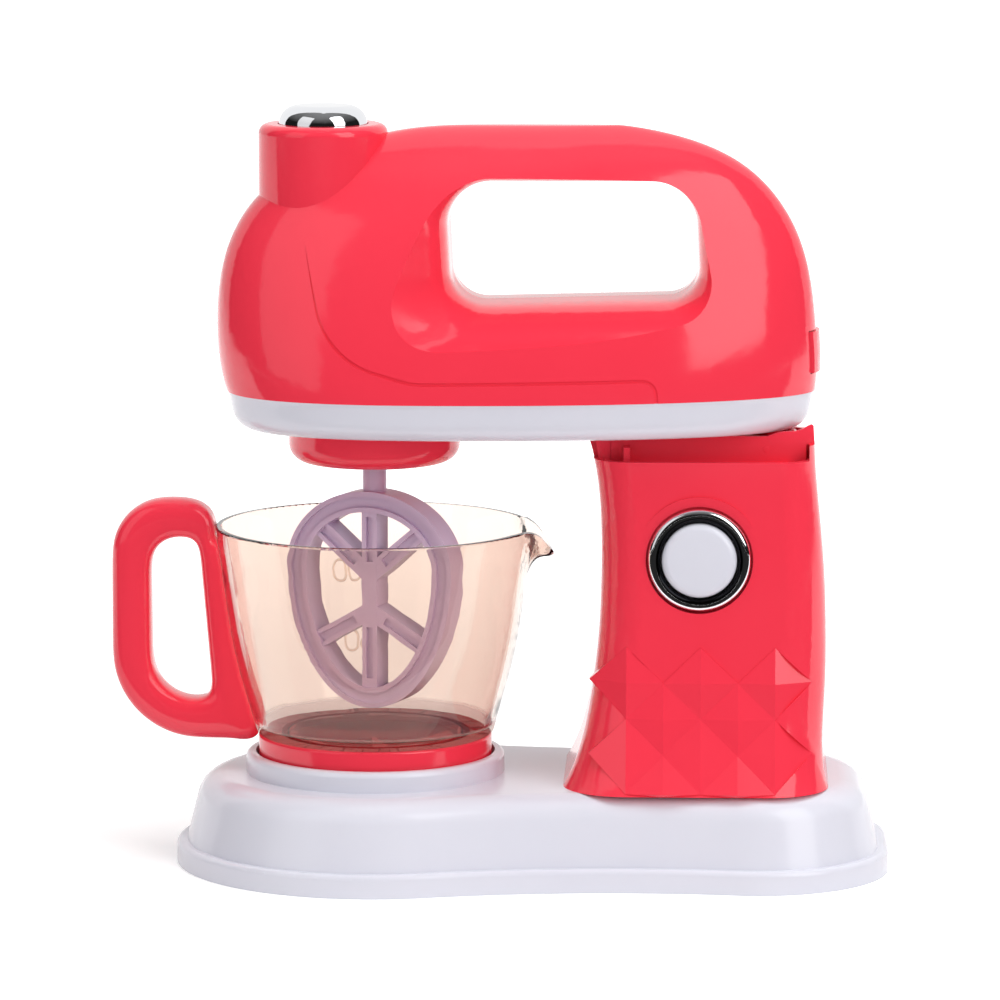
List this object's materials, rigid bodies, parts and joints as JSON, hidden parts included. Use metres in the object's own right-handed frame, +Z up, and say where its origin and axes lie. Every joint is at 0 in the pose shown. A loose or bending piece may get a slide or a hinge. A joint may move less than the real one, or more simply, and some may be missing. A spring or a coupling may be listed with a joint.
{
  "type": "toy stand mixer",
  "caption": "Toy stand mixer with a tilting head, grip opening, turning beater, spouted clear bowl with a handle, faceted column and push buttons.",
  "frame": {"origin": "centre of the whole object's length and depth, on the surface that it stands on", "axes": "+X from the bowl's handle towards the column, +Y away from the button side, +Z up"},
  "size_m": [0.21, 0.1078, 0.205],
  "materials": {
    "red_plastic": "glossy coral red moulded plastic",
    "white_plastic": "glossy white moulded plastic",
    "amber_clear": "clear amber polystyrene",
    "lilac_plastic": "satin lilac plastic",
    "chrome_trim": "bright plated plastic",
    "gear_plastic": "natural moulded nylon",
    "dark_plastic": "black moulded plastic",
    "plated_metal": "nickel plated",
    "screw_steel": "zinc plated steel",
    "brass_metal": "turned brass",
    "battery_cell": "plain cell jacket"
  },
  "bodies": {
    "stand": {"base_shell": "white_plastic", "base_cover": "white_plastic", "battery_door": "white_plastic", "batteries": "battery_cell", "battery_contacts": "plated_metal", "base_screws": "screw_steel", "battery_door_screw": "screw_steel", "column_screws": "screw_steel", "column_front": "red_plastic", "column_back": "red_plastic", "hinge_pin": "screw_steel", "button_ring": "chrome_trim", "button_spring": "plated_metal", "switch_plate": "dark_plastic", "power_switch": "dark_plastic"},
    "turntable": {"turntable": "red_plastic", "turntable_washer": "plated_metal", "turntable_screw": "screw_steel"},
    "bowl": {"bowl_shell": "amber_clear", "bowl_handle": "red_plastic"},
    "power_button": {"power_button": "white_plastic"},
    "head": {"head_front_half": "red_plastic", "head_back_half": "red_plastic", "head_screws": "screw_steel", "head_tray": "white_plastic", "hinge_neck": "red_plastic", "collar": "red_plastic", "spindle_bush": "gear_plastic", "gear_plate": "gear_plastic", "gear_plate_screws": "screw_steel", "motor_can": "plated_metal", "switch_bracket": "dark_plastic", "top_switch": "dark_plastic", "top_button_spring": "plated_metal", "release_spring": "plated_metal"},
    "top_button": {"top_button": "chrome_trim"},
    "release_tab": {"release_tab": "red_plastic"},
    "spindle": {"spindle": "lilac_plastic", "spindle_gear": "gear_plastic"},
    "beater": {"beater": "lilac_plastic"},
    "idler": {"idler_gear": "gear_plastic", "idler_shaft": "screw_steel"},
    "rotor": {"motor_shaft": "screw_steel", "motor_pinion": "brass_metal"}
  },
  "joints": [
    {"name": "turntable_spin", "type": "hinge", "parent": "stand", "child": "turntable", "pos_m": [-0.0338, 0, 0.03], "axis": [0, 0, 1], "range_deg": [-138, 138]},
    {"name": "bowl_lift", "type": "slide", "parent": "turntable", "child": "bowl", "axis": [0, 0, 1], "range_m": [0, 0.003]},
    {"name": "power_press", "type": "slide", "parent": "stand", "child": "power_button", "axis": [0, 1, 0], "range_m": [0, 0.0025], "stiffness_N_per_m": 350, "springref_m": -0.001, "deforming": ["button_spring"]},
    {"name": "head_tilt", "type": "hinge", "parent": "stand", "child": "head", "pos_m": [0.0765, 0, 0.113], "axis": [0, 1, 0], "range_deg": [0, 30]},
    {"name": "top_press", "type": "slide", "parent": "head", "child": "top_button", "axis": [0, 0, -1], "range_m": [0, 0.0025], "stiffness_N_per_m": 350, "springref_m": -0.001, "deforming": ["top_button_spring"]},
    {"name": "release_press", "type": "slide", "parent": "head", "child": "release_tab", "axis": [-1, 0, 0], "range_m": [0, 0.0015], "stiffness_N_per_m": 400, "springref_m": -0.001, "deforming": ["release_spring"]},
    {"name": "spindle_turn", "type": "hinge", "parent": "head", "child": "spindle", "pos_m": [-0.0338, 0, 0.12], "axis": [0, 0, 1], "continuous": true},
    {"name": "beater_pull", "type": "slide", "parent": "spindle", "child": "beater", "axis": [0, 0, -1], "range_m": [0, 0.003]},
    {"name": "idler_turn", "type": "hinge", "parent": "head", "child": "idler", "pos_m": [-0.0548, 0, 0.13], "axis": [0, 0, 1], "continuous": true},
    {"name": "motor_turn", "type": "hinge", "parent": "head", "child": "rotor", "pos_m": [-0.0468, 0.01386, 0.13], "axis": [0, 0, 1], "continuous": true}
  ],
  "couplings": [
    {"joint": "idler_turn", "follows": "motor_turn", "ratio": -0.33333},
    {"joint": "spindle_turn", "follows": "motor_turn", "ratio": 0.10417}
  ]
}
